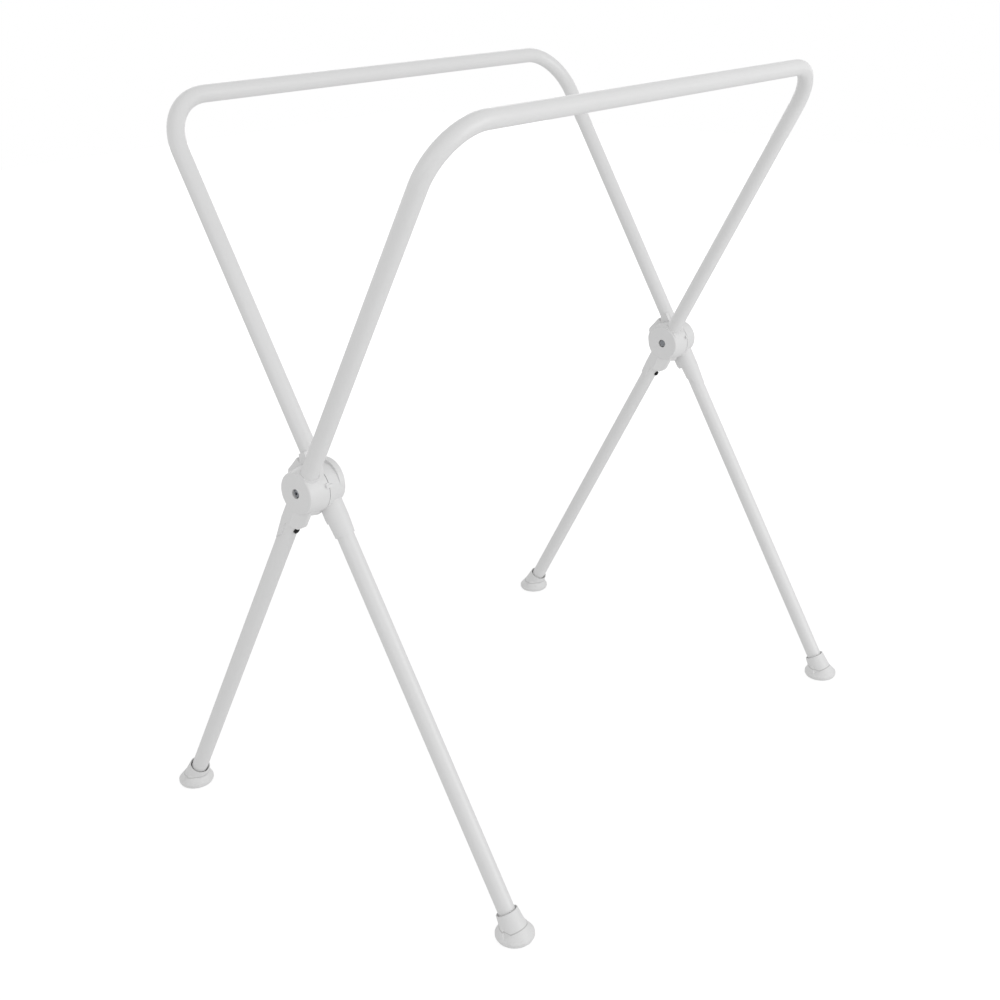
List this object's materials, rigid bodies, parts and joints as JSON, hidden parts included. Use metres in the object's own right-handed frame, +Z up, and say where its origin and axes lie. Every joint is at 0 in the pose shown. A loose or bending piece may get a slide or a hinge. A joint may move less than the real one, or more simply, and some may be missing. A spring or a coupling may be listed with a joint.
{
  "type": "baby bath stand",
  "caption": "Folding X-frame stand with two raised tube rails that carry a baby bath, hinged at both ends, on straight tube legs with foot caps.",
  "frame": {"origin": "on the floor under the middle of the stand", "axes": "+X runs along the two rails, +Y points from the front rail to the rear rail, +Z points up"},
  "size_m": [0.865, 0.6222, 0.98],
  "materials": {
    "painted_tube": "gloss white powder coat",
    "hub_plastic": "satin white moulded plastic",
    "foot_plastic": "satin white moulded plastic",
    "button_plastic": "satin black",
    "zinc_steel": "bright zinc plate",
    "spring_steel": "plain spring steel strip",
    "nylon_washer": "natural nylon"
  },
  "bodies": {
    "rear_frame": {"rear_top_frame": "painted_tube", "rear_frame_left_leg": "painted_tube", "rear_frame_right_leg": "painted_tube", "left_hub_inner_half": "hub_plastic", "right_hub_outer_half": "hub_plastic", "left_pivot_bolt": "zinc_steel", "right_pivot_bolt": "zinc_steel", "left_lock_nut": "zinc_steel", "right_lock_nut": "zinc_steel", "left_nut_washer": "zinc_steel", "right_nut_washer": "zinc_steel", "left_slip_washer": "nylon_washer", "right_slip_washer": "nylon_washer", "rear_frame_screws": "zinc_steel", "rear_frame_left_foot": "foot_plastic", "rear_frame_right_foot": "foot_plastic"},
    "front_frame": {"front_top_frame": "painted_tube", "front_frame_left_leg": "painted_tube", "front_frame_right_leg": "painted_tube", "left_hub_outer_half": "hub_plastic", "right_hub_inner_half": "hub_plastic", "front_frame_screws": "zinc_steel", "front_frame_left_foot": "foot_plastic", "front_frame_right_foot": "foot_plastic"},
    "rear_left_button": {"rear_left_snap_button": "button_plastic", "rear_left_snap_clip": "spring_steel"},
    "rear_right_button": {"rear_right_snap_button": "button_plastic", "rear_right_snap_clip": "spring_steel"},
    "front_left_button": {"front_left_snap_button": "button_plastic", "front_left_snap_clip": "spring_steel"},
    "front_right_button": {"front_right_snap_button": "button_plastic", "front_right_snap_clip": "spring_steel"}
  },
  "joints": [
    {"name": "fold", "type": "hinge", "parent": "rear_frame", "child": "front_frame", "pos_m": [0, 0, 0.525], "axis": [-1, 0, 0], "range_deg": [0, 54]},
    {"name": "rear_left_button_press", "type": "slide", "parent": "rear_frame", "child": "rear_left_button", "axis": [0, -0.8739, 0.4861], "range_m": [0, 0.0032], "stiffness_N_per_m": 1500, "springref_m": -0.002},
    {"name": "rear_right_button_press", "type": "slide", "parent": "rear_frame", "child": "rear_right_button", "axis": [0, -0.8739, 0.4861], "range_m": [0, 0.0032], "stiffness_N_per_m": 1500, "springref_m": -0.002},
    {"name": "front_left_button_press", "type": "slide", "parent": "front_frame", "child": "front_left_button", "axis": [0, 0.8739, 0.4861], "range_m": [0, 0.0032], "stiffness_N_per_m": 1500, "springref_m": -0.002},
    {"name": "front_right_button_press", "type": "slide", "parent": "front_frame", "child": "front_right_button", "axis": [0, 0.8739, 0.4861], "range_m": [0, 0.0032], "stiffness_N_per_m": 1500, "springref_m": -0.002}
  ]
}
